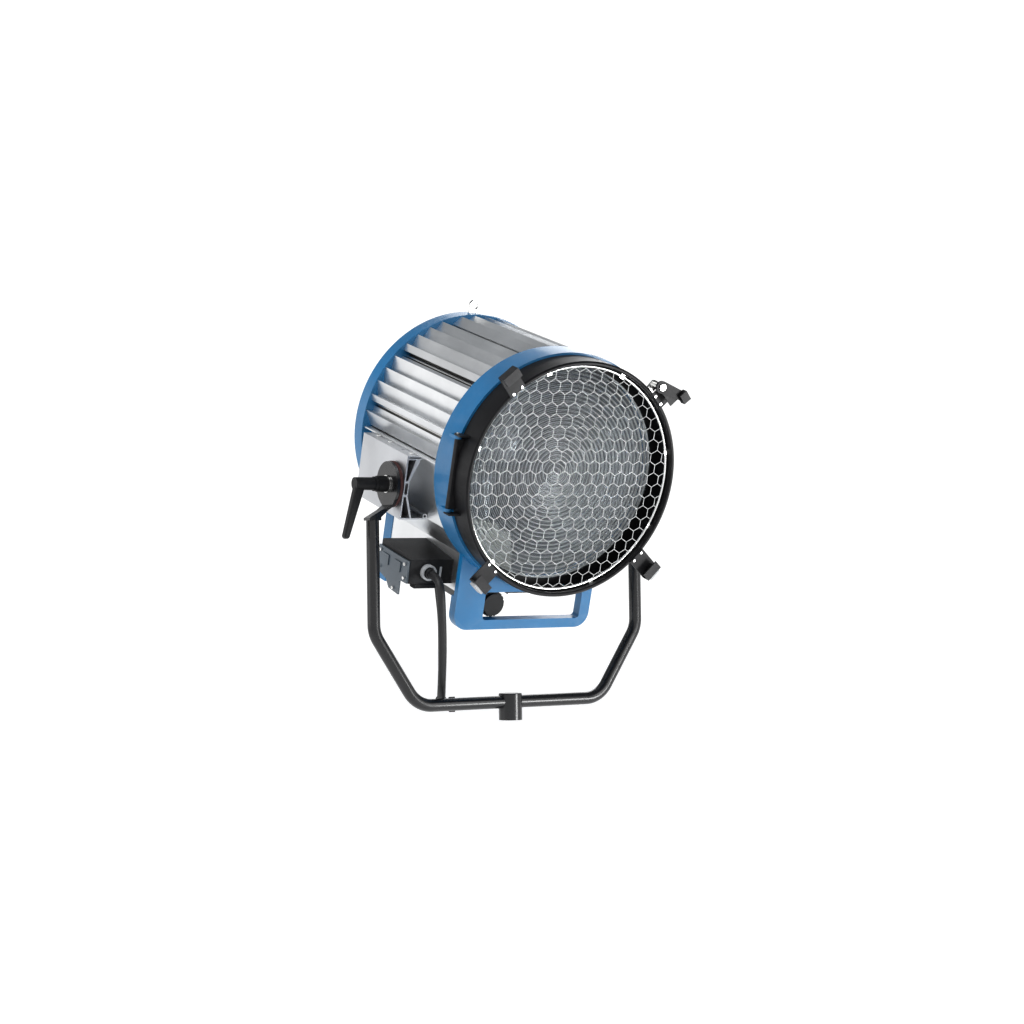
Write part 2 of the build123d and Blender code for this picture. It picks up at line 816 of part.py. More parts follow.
mesh_radius = guard_radius - guard_wire
mesh_rim = 1.5
cells = int(2 * mesh_radius / mesh_pitch) + 2
rows = int(2 * mesh_radius / (mesh_pitch * sqrt(3) / 2)) + 2
with BuildSketch() as cell_field:
    with HexLocations(mesh_pitch / 2, cells, rows, major_radius=False):
        RegularPolygon((mesh_pitch - mesh_wire) / 2, 6, major_radius=False)
    Circle(mesh_radius - mesh_rim, mode=Mode.INTERSECT)
with BuildPart() as guard_mesh:
    with BuildSketch(drum(guard_f - mesh_wire / 2)):
        Circle(mesh_radius)
        add(cell_field.sketch, rotation=90, mode=Mode.SUBTRACT)
    extrude(amount=mesh_wire)
save(guard_mesh, "guard_mesh")

clip_angles = (15, 68, 112, 165, 228, 292, 335)
clip_inner = guard_radius - guard_wire - 1.5
clip_outer = door_radius - door_wall
with BuildPart() as guard_clips:
    with BuildSketch(drum(guard_f + guard_wire)):
        for angle in clip_angles:
            with Locations(Location((*polar((clip_inner + clip_outer) / 2, angle), 0), angle)):
                Rectangle(clip_outer - clip_inner + 0.6, 9)
        Circle(clip_outer, mode=Mode.INTERSECT)
    extrude(amount=1.5)
save(guard_clips, "guard_clips")

# ================================================================ accessory brackets
slot_gap = bracket_front - door_front - 2 * bracket_sheet
pad_thickness = 5.0


def bracket(angle, reach):
    """Folded hook on the door's front rim: foot, outer wall and return lip."""
    with BuildPart() as hook:
        with BuildSketch(drum(door_front)):
            with Locations(Location((*polar((door_radius - 5 + reach) / 2, angle), 0), angle)):
                Rectangle(reach - door_radius + 5, bracket_width)
        extrude(amount=bracket_sheet)
        with BuildSketch(drum(door_front + bracket_sheet)):
            with Locations(Location((*polar(reach - bracket_sheet / 2, angle), 0), angle)):
                Rectangle(bracket_sheet, bracket_width)
        extrude(amount=slot_gap)
        with BuildSketch(drum(bracket_front - bracket_sheet)):
            with Locations(Location((*polar(reach - 9, angle), 0), angle)):
                Rectangle(18, bracket_width)
        extrude(amount=bracket_sheet)
    return hook


lock_reach = bracket_reach - 24
hooks = [bracket(angle, bracket_reach - pad_thickness) for angle in bracket_angles]
hooks += [bracket(lock_angle, lock_reach)]
with BuildPart() as brackets:
    for hook in hooks:
        add(hook.part)
save(brackets, "brackets")

pad_angles = bracket_angles[:2]
with BuildPart() as bracket_pads:
    with BuildSketch(drum(door_front + 2)):
        for angle in pad_angles:
            with Locations(Location((*polar(bracket_reach - pad_thickness / 2, angle), 0), angle)):
                Rectangle(pad_thickness, bracket_width - 12)
    extrude(amount=bracket_front - door_front - 4)
save(bracket_pads, "bracket_pads")

rivet_radius = 2.6
with BuildPart() as bracket_rivets:
    with BuildSketch(drum(door_front + bracket_sheet)):
        for angle in (*bracket_angles, lock_angle):
            for turn in (-2.6, 2.6):
                with Locations(polar(door_radius - 1.5, angle + turn)):
                    Circle(rivet_radius)
    extrude(amount=1.6)
save(bracket_rivets, "bracket_rivets")

# movable retainer of the upper right bracket: it swings on a stud square to the rim
lock_pivot = polar(bracket_reach - 36, lock_angle + 7)
lock_f = bracket_front + 1.0
with BuildPart() as lock_stud:
    with BuildSketch(drum(door_front)):
        with Locations(lock_pivot):
            Circle(4)
    extrude(amount=lock_f - door_front + 5.5)
    with BuildSketch(drum(lock_f + 5.5)):
        with Locations(lock_pivot):
            Circle(6.5)
    extrude(amount=2.5)
    with BuildSketch(drum(door_front - 3)):
        with Locations(lock_pivot):
            Circle(9)
        with Locations(Location((*polar(door_radius + 3.5, lock_angle + 7), 0), lock_angle + 7)):
            Rectangle(13, 18)
        with Locations((0, 0)):
            Circle(door_radius + 0.1, mode=Mode.SUBTRACT)
    extrude(amount=3)
save(lock_stud, "lock_stud")

with BuildPart() as lock_arm:
    with BuildSketch(drum(lock_f)):
        with Locations(lock_pivot):
            Circle(12)
        with Locations(polar(bracket_reach - 12, lock_angle - 4)):
            Circle(9)
        make_hull()
        with Locations(lock_pivot):
            Circle(4 + running, mode=Mode.SUBTRACT)
    extrude(amount=5)
    with BuildSketch(drum(lock_f)):
        with Locations(Location((*polar(bracket_reach - 12, lock_angle - 4), 0), lock_angle - 4)):
            Rectangle(17, 20)
    extrude(amount=13)
save(lock_arm, "lock_arm")

# ================================================================ door release
release_f = 142.0
release_u = drum_rise
with BuildPart() as release_housing:
    with BuildSketch(beside(casting_radius - 1.5, release_f, release_u)):
        RectangleRounded(30, 40, 4)
        Circle(9 + sliding, mode=Mode.SUBTRACT)
    extrude(amount=-12)
    with BuildSketch(drum(front_seam)):
        Circle(casting_radius + 0.1)
    extrude(amount=100, mode=Mode.SUBTRACT)
save(release_housing, "release_housing")

with BuildPart() as release_button:
    with BuildSketch(beside(casting_radius + 5, release_f, release_u)):
        Circle(9)
    extrude(amount=-10)
    fillet(release_button.edges().group_by(Axis.X)[-1], 1.5)
save(release_button, "release_button")

# ================================================================ focus drive
knob_front_f = channel_front + 4.0
knob_rear_f = drum_rear - 4.0
rear_knob_length = 28.0
knob_nose = 6.0
knob_cap = 10.0
knob_flutes = 18


def knob(f, length, way):
    """Fluted knob with a stepped nose, from a plane forward (way 1) or back (-1)."""
    with BuildPart() as grip:
        with BuildSketch(across(f, spindle_u, spindle_x)):
            Circle(knob_radius)
            with PolarLocations(knob_radius + 1.5, knob_flutes):
                Circle(3.0, mode=Mode.SUBTRACT)
        extrude(amount=way * (length - knob_nose))
        with BuildSketch(across(f + way * (length - knob_nose), spindle_u, spindle_x)):
            Circle(knob_radius - 4)
        extrude(amount=way * knob_nose)
        with BuildSketch(across(f, spindle_u, spindle_x)):
            Circle(spindle_radius)
        extrude(amount=way * (length - knob_cap), mode=Mode.SUBTRACT)
    return grip


front_knob = knob(knob_front_f, knob_length, 1)
rear_knob = knob(knob_rear_f, rear_knob_length, -1)
with BuildPart() as focus_knobs:
    add(front_knob.part)
    add(rear_knob.part)
save(focus_knobs, "focus_knobs")

spindle_rear = knob_rear_f - rear_knob_length + knob_cap
spindle_front = knob_front_f + knob_length - knob_cap
with BuildPart() as focus_spindle:
    with BuildSketch(across(spindle_rear, spindle_u, spindle_x)):
        Circle(spindle_radius)
    extrude(amount=spindle_front - spindle_rear)
save(focus_spindle, "focus_spindle")

with BuildPart() as guide_rods:
    with BuildSketch(across(drum_rear + rear_wall, rod_u)):
        with Locations((-rod_x, 0), (rod_x, 0)):
            Circle(rod_radius)
    extrude(amount=front_seam - drum_rear - rear_wall)
save(guide_rods, "guide_rods")

deck_u = rod_u + 14.0
deck_thickness = 5.0
nut_half = 14.0
socket_base = deck_u + deck_thickness
stem_f = lamp_f - 68.0
mirror_wall = 2.0
with BuildPart() as carriage:
    with BuildSketch(across(-35, rod_u)):
        with Locations((-rod_x, 0), (rod_x, 0)):
            Rectangle(26, 28)
            Circle(rod_radius + running, mode=Mode.SUBTRACT)
    extrude(amount=50)
    with BuildSketch(over(deck_u)):
        with Locations((0, 35)):
            Rectangle(2 * rod_x + 26, 110)
    extrude(amount=deck_thickness)
    with BuildSketch(across(-15, 0, spindle_x)):
        with Locations((0, (deck_u + spindle_u) / 2)):
            Rectangle(9, deck_u - spindle_u)
        with Locations((0, spindle_u)):
            Rectangle(2 * nut_half, 2 * nut_half)
            Circle(spindle_radius + running, mode=Mode.SUBTRACT)
    extrude(amount=24)
    with BuildSketch(across(stem_f)):
        with Locations((0, (socket_base + drum_rise) / 2)):
            Rectangle(24, drum_rise - socket_base)
    extrude(amount=6)
    with BuildSketch(beside(-40, lamp_f, drum_rise)):
        Circle(mirror_radius + mirror_wall + 0.1)
    extrude(amount=-80, mode=Mode.SUBTRACT)
save(carriage, "carriage")

socket_top = socket_base + 70
with BuildPart() as lamp_socket:
    with BuildSketch(over(socket_base)):
        with Locations((0, -lamp_f)):
            RectangleRounded(90, 56, 8)
    extrude(amount=70)
    with BuildSketch(over(socket_top)):
        with Locations((-19, -lamp_f), (19, -lamp_f)):
            Circle(6.2)
    extrude(amount=-30, mode=Mode.SUBTRACT)
save(lamp_socket, "lamp_socket")

globe_wall = 1.8
neck_radius = 24.0
neck_turn = sqrt(globe_radius**2 - neck_radius**2)
inner_turn = sqrt((globe_radius - globe_wall) ** 2 - (neck_radius - globe_wall) ** 2)
lamp_axis = Axis(head_point(0, lamp_f, 0), ALOFT)
with BuildPart() as lamp_globe:
    with BuildSketch(beside(0, lamp_f, drum_rise)):
        with BuildLine():
            Polyline(
                (0, globe_radius - globe_wall),
                (0, globe_radius),
            )
            ThreePointArc((0, globe_radius), (globe_radius, 0), (neck_radius, -neck_turn))
            Polyline(
                (neck_radius, -neck_turn),
                (neck_radius, socket_top + 8 - drum_rise),
                (neck_radius - globe_wall, socket_top + 8 - drum_rise),
                (neck_radius - globe_wall, -inner_turn),
            )
            ThreePointArc(
                (neck_radius - globe_wall, -inner_turn),
                (globe_radius - globe_wall, 0),
                (0, globe_radius - globe_wall),
            )
        make_face()
    revolve(axis=lamp_axis)
save(lamp_globe, "lamp_globe")

with BuildPart() as lamp_cap:
    with BuildSketch(over(socket_top + 0.2)):
        with Locations((0, -lamp_f)):
            RectangleRounded(62, 34, 6)
    extrude(amount=8 - 0.2)
    with BuildSketch(over(socket_top + 0.2)):
        with Locations((-19, -lamp_f), (19, -lamp_f)):
            Circle(6)
    extrude(amount=-26)
save(lamp_cap, "lamp_cap")

coil_wire = 1.6
filament_half = 16.0
with BuildPart() as filament:
    with BuildSketch(over(socket_top + 8)):
        with Locations((-filament_half, -lamp_f), (filament_half, -lamp_f)):
            Circle(coil_wire)
    extrude(amount=drum_rise + 14 - socket_top - 8)
    with BuildSketch(beside(filament_half, lamp_f, drum_rise)):
        with GridLocations(0, 7, 1, 4):
            Circle(1.2)
    extrude(amount=2 * filament_half)
save(filament, "filament")

mirror_half_angle = 62.0
near = polar(mirror_radius, 180 - mirror_half_angle)
mirror_back = mirror_radius + mirror_wall
far = polar(mirror_back, 180 - mirror_half_angle)
mid_angle = 180 - mirror_half_angle / 2
with BuildPart() as reflector:
    with BuildSketch(beside(0, lamp_f, drum_rise)):
        with BuildLine():
            ThreePointArc((-mirror_radius, 0), polar(mirror_radius, mid_angle), near)
            Line(near, far)
            ThreePointArc(far, polar(mirror_back, mid_angle), (-mirror_back, 0))
            Line((-mirror_back, 0), (-mirror_radius, 0))
        make_face()
    revolve(axis=drum_axis)
save(reflector, "reflector")

# ================================================================ connector box
box_wall = 3.0
box_feet_f = (48.0, -46.0)
foot_drop = 12.0
relief_radius = cable_radius + 3.0
with BuildPart() as connector_box:
    with BuildSketch(beside(-base_half)):
        with BuildLine():
            Polyline(
                (box_rear, box_bottom),
                (box_front, box_bottom),
                (box_front, box_top),
                (box_rear, box_rear_top),
                close=True,
            )
        make_face()
    extrude(amount=box_outer - base_half)
    fillet(connector_box.edges().filter_by(Axis.X).group_by(Axis.Z)[-1], 6)
    with BuildSketch(beside(-base_half)):
        with BuildLine():
            Polyline(
                (box_rear + box_wall, box_bottom + box_wall),
                (box_front - box_wall, box_bottom + box_wall),
                (box_front - box_wall, box_top - 4),
                (box_rear + box_wall, box_rear_top - 6),
                close=True,
            )
        make_face()
    extrude(amount=box_outer - base_half - box_wall, mode=Mode.SUBTRACT)
    with BuildSketch(across(box_front, gland_u, gland_x)):
        Circle(relief_radius)
    extrude(amount=-box_wall, mode=Mode.SUBTRACT)
    with BuildSketch(beside(-base_half - 20)):
        for f in box_feet_f:
            with Locations((f, box_bottom - foot_drop / 2)):
                RectangleRounded(22, foot_drop, 4)
    extrude(amount=55)
save(connector_box, "connector_box")

cover_thickness = 4.0
catch_f = (-30.0, 20.0)  # middle of each hooked catch
cover_tab_low = -211.0
with BuildPart() as box_cover:
    with BuildSketch(beside(-box_outer)):
        with BuildLine():
            Polyline(
                (box_rear - 3, box_top - 4),
                (box_front - 3, box_top - 4),
                (box_front - 1, box_bottom),
                (33, box_bottom - 1),
                (34, cover_tab_low),
                (-6, cover_tab_low + 2),
                (-20, box_bottom - 14),
                (box_rear - 3, box_bottom - 6),
                close=True,
            )
        make_face()
    extrude(amount=cover_thickness)
    with BuildSketch(beside(-box_outer - cover_thickness)):
        for f in catch_f:
            with Locations((f, box_top - 16)):
                Rectangle(26, 4)
            with Locations((f + 11, box_top - 24)):
                Rectangle(4, 20)
    extrude(amount=2)
save(box_cover, "box_cover")

with BuildPart() as cable_gland:
    with BuildSketch(across(box_front, gland_u, gland_x)):
        Circle(gland_radius)
        Circle(relief_radius, mode=Mode.SUBTRACT)
    extrude(amount=gland_length)
    chamfer(cable_gland.edges().filter_by(GeomType.CIRCLE).sort_by(Axis.Y)[0:1], 1)
save(cable_gland, "cable_gland")

relief_end = box_front + gland_length + 7
with BuildPart() as strain_relief:
    with BuildSketch(across(box_front - box_wall, gland_u, gland_x)):
        Circle(relief_radius)
    with BuildSketch(across(relief_end, gland_u, gland_x)):
        Circle(cable_radius + 1)
    loft()
save(strain_relief, "strain_relief")

# ================================================================ cable
# Its route counts from the tilt axis. It leaves the gland, drops behind the crossbar,
# turns under, and climbs behind the head to the coil.
split_radius = 400.0  # inside it the cable goes with the head, outside with the yoke
split_gap = 0.7
exit_run = 25.0
exit_place = head_point(gland_x, relief_end, gland_u) - Vector(0, 0, tilt_height)
route = [
    exit_place,
    exit_place + AHEAD * exit_run,
    Vector(-191.5, -69.0, -204.0),
    Vector(-187.5, -64.0, -247.0),
    Vector(-174.0, -42.0, -303.0),
    Vector(-157.0, -8.0, -360.0),
    Vector(-141.0, 26.0, -410.0),
    Vector(-119.0, 68.0, -433.0),
    Vector(-91.0, 117.0, -434.0),
    Vector(-62.0, 164.0, -411.0),
    Vector(-35.0, 210.0, -367.0),
    Vector(-12.0, 250.0, -316.0),
    Vector(7.0, 284.0, -261.0),
    Vector(13.0, 307.0, -204.0),
    Vector(8.0, 309.0, -150.0),
    Vector(2.0, 296.0, -97.0),
    Vector(1.0, 277.0, -46.0),
    Vector(1.0, 257.0, 2.0),
]
runs = [route[i + 1] - route[i] for i in range(len(route) - 1)]
bend_radii = []
for before, after in zip(runs, runs[1:]):
    half_turn = radians(before.get_angle(after)) / 2
    bend_radii.append(0.45 * min(before.length, after.length) / tan(half_turn))
print("cable bend radii", [round(radius) for radius in bend_radii])
cable_places = [Vector(0, 0, tilt_height) + point for point in route]

with BuildPart() as whole_cable:
    with BuildLine() as cable_line:
        FilletPolyline(*cable_places, radius=bend_radii)
    with BuildSketch(Plane(origin=cable_places[0], z_dir=runs[0])):
        Circle(cable_radius)
    sweep()
cable_length = sum(edge.length for edge in cable_line.line.edges())
swept_share = whole_cable.part.volume / (pi * cable_radius**2 * cable_length)
print("cable route", round(cable_length), "mm, volume over section times length", round(swept_share, 4))

with BuildPart() as cable_coil:
    with BuildSketch(across(coil_front - coil_thickness, coil_u, coil_x)):
        Circle(coil_outer)
        Circle(coil_inner, mode=Mode.SUBTRACT)
    extrude(amount=coil_thickness)
    fillet(cable_coil.edges(), 5)
save(cable_coil, "cable_coil")

split_middle_y = 120.0


def cable_part(radius, outside, behind):
    """The stretch of cable inside or outside a cylinder about the tilt axis."""
    with BuildPart() as stretch:
        add(whole_cable.part)
        with BuildSketch(Plane.YZ.offset(-arm_x)):
            with Locations((0, tilt_height)):
                Circle(radius)
        extrude(amount=2 * arm_x, mode=Mode.SUBTRACT if outside else Mode.INTERSECT)
        if not outside:
            side = 1 if behind else -1
            with BuildSketch(Plane.XY.offset(-10)):
                with Locations((0, split_middle_y - side * 400)):
                    Rectangle(2 * arm_x, 800)
            extrude(amount=2 * tilt_height, mode=Mode.SUBTRACT)
        add(cable_coil.part, mode=Mode.SUBTRACT)
    return stretch


cable_drop = cable_part(split_radius, False, False)
save(cable_drop, "cable_drop")
cable_rise = cable_part(split_radius, False, True)
save(cable_rise, "cable_rise")
cable_loop = cable_part(split_radius + split_gap, True, False)
save(cable_loop, "cable_loop")

tail_drop = coil_outer - 29.0
tail_x = coil_x + coil_mid_radius + cable_radius - 2
tail_f = coil_front - 1.5 * 2 * cable_radius
plug_top = coil_u - tail_drop
with BuildPart() as cable_tail:
    with BuildSketch(over(plug_top)):
        with Locations((tail_x, -tail_f)):
            Circle(cable_radius)
    extrude(amount=coil_u - plug_top)
    with BuildSketch(across(coil_front, coil_u, coil_x)):
        Circle(coil_outer)
    extrude(amount=-coil_thickness - 1, mode=Mode.SUBTRACT)
save(cable_tail, "cable_tail")

with BuildPart() as power_plug:
    with BuildSketch(over(plug_top)):
        with Locations((tail_x, -tail_f)):
            Circle(14)
    with BuildSketch(over(plug_top - 30)):
        with Locations((tail_x, -tail_f)):
            Circle(plug_radius - 4)
    loft()
    with BuildSketch(over(plug_top - 30)):
        with Locations((tail_x, -tail_f)):
            Circle(plug_radius)
    extrude(amount=-(plug_length - 30))
    with BuildSketch(over(plug_top - plug_length)):
        with Locations((tail_x, -tail_f)):
            Circle(plug_radius - 3)
    extrude(amount=38, mode=Mode.SUBTRACT)
    with BuildSketch(over(plug_top - plug_length + 4)):
        with Locations((tail_x, -tail_f)):
            with PolarLocations(14, 3):
                Circle(3.5)
    extrude(amount=36)
save(power_plug, "power_plug")

tie_width = 18.0
tie_angle_list = (35.0, 145.0, 270.0)
with BuildPart() as coil_ties:
    for angle in tie_angle_list:
        with BuildSketch(across(coil_front - coil_thickness - 2, coil_u, coil_x)):
            with Locations(Location((*polar(coil_mid_radius, angle), 0), angle)):
                Rectangle(4 * cable_radius + 8, tie_width)
        extrude(amount=coil_thickness + 4)
        with BuildSketch(across(coil_front - coil_thickness, coil_u, coil_x)):
            with Locations(Location((*polar(coil_mid_radius, angle), 0), angle)):
                Rectangle(4 * cable_radius + 4, tie_width + 2)
        extrude(amount=coil_thickness, mode=Mode.SUBTRACT)
save(coil_ties, "coil_ties")

# stand-off clip from the back of the crossbar to the cable loop
clip_share = 0.5
clip_place = cable_places[6] + runs[6] * clip_share
clip_half = 6.0
clip_bore = cable_radius + 0.8
bar_centre = Vector(clip_place.X, 0, bar_z)
with BuildPart() as cable_clip:
    with BuildSketch(Plane(origin=clip_place - runs[6].normalized() * clip_half, z_dir=runs[6])):
        Circle(cable_radius + 3)
    extrude(amount=2 * clip_half)
    with BuildSketch(Plane(origin=bar_centre - Vector(clip_half, 0, 0), x_dir=(0, 1, 0), z_dir=(1, 0, 0))):
        Circle(tube_radius + 2.5)
        with Locations((-tube_radius, 0)):
            Rectangle(2 * tube_radius + 4, 4 * tube_radius, mode=Mode.SUBTRACT)
    extrude(amount=2 * clip_half)
    with BuildSketch(Plane(origin=bar_centre, z_dir=clip_place - bar_centre)):
        Circle(5)
    extrude(amount=(clip_place - bar_centre).length)
    with BuildSketch(Plane(origin=clip_place - runs[6].normalized() * 5 * clip_half, z_dir=runs[6])):
        Circle(clip_bore)
    extrude(amount=10 * clip_half, mode=Mode.SUBTRACT)
    with BuildSketch(Plane(origin=bar_centre - Vector(20, 0, 0), x_dir=(0, 1, 0), z_dir=(1, 0, 0))):
        Circle(tube_radius)
    extrude(amount=40, mode=Mode.SUBTRACT)
save(cable_clip, "cable_clip")
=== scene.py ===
import json
import math

import bmesh
import bpy
from mathutils import Matrix, Vector


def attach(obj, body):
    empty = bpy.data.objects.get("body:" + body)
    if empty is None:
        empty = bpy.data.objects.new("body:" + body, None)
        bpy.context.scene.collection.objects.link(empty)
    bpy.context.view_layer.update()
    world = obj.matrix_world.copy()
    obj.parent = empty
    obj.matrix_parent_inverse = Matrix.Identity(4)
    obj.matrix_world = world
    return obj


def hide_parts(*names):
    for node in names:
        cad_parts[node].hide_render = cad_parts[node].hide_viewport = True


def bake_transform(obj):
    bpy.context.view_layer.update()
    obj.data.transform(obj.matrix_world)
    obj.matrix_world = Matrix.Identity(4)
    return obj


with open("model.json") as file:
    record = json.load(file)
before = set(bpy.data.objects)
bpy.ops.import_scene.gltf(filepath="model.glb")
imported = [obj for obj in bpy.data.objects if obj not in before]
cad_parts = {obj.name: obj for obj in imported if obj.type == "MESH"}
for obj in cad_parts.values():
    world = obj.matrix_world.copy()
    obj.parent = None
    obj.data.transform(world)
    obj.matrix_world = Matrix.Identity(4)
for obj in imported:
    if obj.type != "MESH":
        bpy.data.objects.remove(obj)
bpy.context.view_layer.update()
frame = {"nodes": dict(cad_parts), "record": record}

# ---------------------------------------------------------------- driving values, metres
TILT_HEIGHT = 0.4615
REST_TILT = math.radians(17.45)
DRUM_RISE = 0.0702
CABLE_RADIUS = 0.008
GLAND_X, GLAND_U, RELIEF_END = -0.190, -0.157, 0.080
COIL_X, COIL_U, COIL_RADIUS, COIL_FRONT = 0.097, -0.070, 0.088, -0.236
TAIL_DROP = 0.075
LENS_PITCH = 0.008
MESH_PITCH, MESH_RADIUS, MESH_WIRE, MESH_F = 0.0254, 0.2150, 0.0006, 0.2160
COVER_REAR = -0.228  # rear face of the rear cover
SOCKET_SHARE = 0.5  # screw socket against screw head
FLOOR_REACH, FLOOR_LEVEL = 30.0, -0.9

ACROSS = Vector((1, 0, 0))
AHEAD = Vector((0, -math.cos(REST_TILT), -math.sin(REST_TILT)))
ALOFT = Vector((0, -math.sin(REST_TILT), math.cos(REST_TILT)))
AXIS = Vector((0, 0, TILT_HEIGHT))


def head_point(x, f, u):
    """A place in the head: across, forward and up from the tilt axis."""
    return AXIS + ACROSS * x + AHEAD * f + ALOFT * u


def drum_point(radius, angle, f):
    """A place round the drum axis, angle in degrees from across."""
    turn = math.radians(angle)
    return head_point(radius * math.cos(turn), f, DRUM_RISE + radius * math.sin(turn))


# ---------------------------------------------------------------- camera
def add_camera():
    """Level camera a long way off to the front left, a little below the tilt axis."""
    camera_data = bpy.data.cameras.new("camera")
    camera_data.lens = 77.62
    camera_data.sensor_width = 36
    camera = bpy.data.objects.new("camera", camera_data)
    bpy.context.scene.collection.objects.link(camera)
    away = Vector((-2.24604, -3.72699, -0.18636))
    forward = (-away).normalized()
    right = forward.cross(Vector((0, 0, 1))).normalized()
    down = forward.cross(right)
    look = Matrix((right, down, forward))
    trim = (
        Matrix.Rotation(0.012117, 3, "X")
        @ Matrix.Rotation(-0.002178, 3, "Y")
        @ Matrix.Rotation(-0.0144835, 3, "Z")
    )
    look = trim @ look
    turn = Matrix((look[0], -look[1], -look[2])).transposed()
    camera.matrix_world = Matrix.Translation(AXIS + away) @ turn.to_4x4()
    bpy.context.scene.camera = camera


add_camera()


# ---------------------------------------------------------------- material kit
class Nodes:
    """A short way to write a node tree for one material."""

    def __init__(self, name):
        self.material = bpy.data.materials.new(name)
        self.material.use_nodes = True
        self.tree = self.material.node_tree
        self.tree.nodes.clear()
        self.output = self.tree.nodes.new("ShaderNodeOutputMaterial")
        self.shader = self.tree.nodes.new("ShaderNodeBsdfPrincipled")
        self.link(self.shader.outputs[0], self.output.inputs["Surface"])

    def add(self, kind, **values):
        node = self.tree.nodes.new("ShaderNode" + kind)
        for key, value in values.items():
            setattr(node, key, value)
        return node

    def link(self, source, target):
        self.tree.links.new(source, target)

    def set(self, **values):
        for key, value in values.items():
            self.shader.inputs[key.replace("_", " ")].default_value = value

    def place(self):
        """Object coordinates."""
        return self.add("TexCoord").outputs["Object"]

    def noise(self, scale, detail=4.0, rough=0.55, vector=None):
        node = self.add("TexNoise")
        node.inputs["Scale"].default_value = scale
        node.inputs["Detail"].default_value = detail
        node.inputs["Roughness"].default_value = rough
        self.link(vector or self.place(), node.inputs["Vector"])
        return node.outputs["Fac"]

    def ramp(self, value, stops):
        node = self.add("ValToRGB")
        ramp = node.color_ramp
        ramp.elements[0].position, ramp.elements[0].color = stops[0][0], stops[0][1]
        ramp.elements[1].position, ramp.elements[1].color = stops[-1][0], stops[-1][1]
        for position, colour in stops[1:-1]:
            ramp.elements.new(position).color = colour
        self.link(value, node.inputs["Fac"])
        return node.outputs["Color"]

    def span(self, value, low, high):
        node = self.add("MapRange")
        node.inputs["To Min"].default_value = low
        node.inputs["To Max"].default_value = high
        self.link(value, node.inputs["Value"])
        return node.outputs["Result"]

    def math(self, operation, first, second):
        node = self.add("Math", operation=operation)
        for socket, value in zip(node.inputs, (first, second)):
            if isinstance(value, (int, float)):
                socket.default_value = value
            else:
                self.link(value, socket)
        return node.outputs[0]

    def mix(self, factor, first, second):
        node = self.add("Mix", data_type="RGBA")
        self.link(factor, node.inputs[0])
        for socket, value in zip((node.inputs[6], node.inputs[7]), (first, second)):
            if isinstance(value, tuple):
                socket.default_value = value
            else:
                self.link(value, socket)
        return node.outputs[2]

    def edges(self, low=0.58, high=0.72):
        """Where the surface turns sharply outwards: worn edges."""
        pointy = self.add("NewGeometry").outputs["Pointiness"]
        node = self.add("MapRange")
        node.inputs["From Min"].default_value = low
        node.inputs["From Max"].default_value = high
        self.link(pointy, node.inputs["Value"])
        return node.outputs["Result"]

    def stretched(self, x, y, z):
        node = self.add("Mapping")
        node.inputs["Scale"].default_value = (x, y, z)
        self.link(self.place(), node.inputs["Vector"])
        return node.outputs["Vector"]

    def bump(self, height, strength, distance):
        node = self.add("Bump")
        node.inputs["Strength"].default_value = strength
        node.inputs["Distance"].default_value = distance
        self.link(height, node.inputs["Height"])
        self.link(node.outputs["Normal"], self.shader.inputs["Normal"])


WHITE = (1.0, 1.0, 1.0, 1.0)
BLACK = (0.0, 0.0, 0.0, 1.0)


def shade(colour, factor):
    return tuple(channel * factor for channel in colour[:3]) + (1.0,)


def coated(
    name,
    colour,
    rough,
    grain=900.0,
    depth=0.0002,
    strength=0.15,
    wear=0.35,
    coat=0.0,
    gloss=0.5,
    bare=(0.35, 0.35, 0.36),
):
    """Paint, powder coat or moulded plastic: fine grain, slight mottling, dust and worn edges."""
    n = Nodes(name)
    mottle = n.noise(9.0)
    base = n.ramp(mottle, [(0.3, shade(colour, 0.86)), (0.7, shade(colour, 1.10))])
    scuff = n.noise(60.0, detail=8.0, rough=0.7)
    worn = n.math("MULTIPLY", n.edges(), n.math("MULTIPLY", scuff, wear))
    n.link(n.mix(worn, base, bare + (1.0,)), n.shader.inputs["Base Color"])
    smudge = n.noise(14.0, detail=6.0)
    n.link(n.span(smudge, rough - 0.07, rough + 0.09), n.shader.inputs["Roughness"])
    n.set(Coat_Weight=coat, Coat_Roughness=0.12, Specular_IOR_Level=gloss)
    n.bump(n.noise(grain, detail=2.0), strength, depth)
    return n.material


def metal(
    name,
    colour,
    rough,
    along=(1.0, 1.0, 1.0),
    brush=300.0,
    depth=0.00008,
    strength=0.12,
    tarnish=0.85,
):
    """Bare or anodised metal with fine drawn lines and patches of tarnish."""
    n = Nodes(name)
    patches = n.noise(7.0, detail=6.0)
    base = n.ramp(patches, [(0.3, shade(colour, tarnish)), (0.7, shade(colour, 1.05))])
    n.link(base, n.shader.inputs["Base Color"])
    lines = n.noise(brush, detail=3.0, vector=n.stretched(*along))
    uneven = n.math("ADD", n.math("MULTIPLY", lines, 0.6), n.math("MULTIPLY", patches, 0.4))
    n.link(n.span(uneven, rough - 0.08, rough + 0.10), n.shader.inputs["Roughness"])
    n.set(Metallic=1.0)
    n.bump(lines, strength, depth)
    return n.material


def glassy(name, tint, rough, haze, clear=0.94):
    """Clear glass with a little dust, so that its relief reads."""
    n = Nodes(name)
    dust = n.noise(30.0, detail=6.0)
    n.link(n.ramp(dust, [(0.3, shade(tint, 0.94)), (0.7, shade(tint, 1.0))]), n.shader.inputs["Base Color"])
    n.link(n.span(dust, rough, rough + haze), n.shader.inputs["Roughness"])
    n.set(IOR=1.5, Transmission_Weight=clear)
    n.bump(n.noise(220.0, detail=2.0), 0.04, 0.0001)
    return n.material


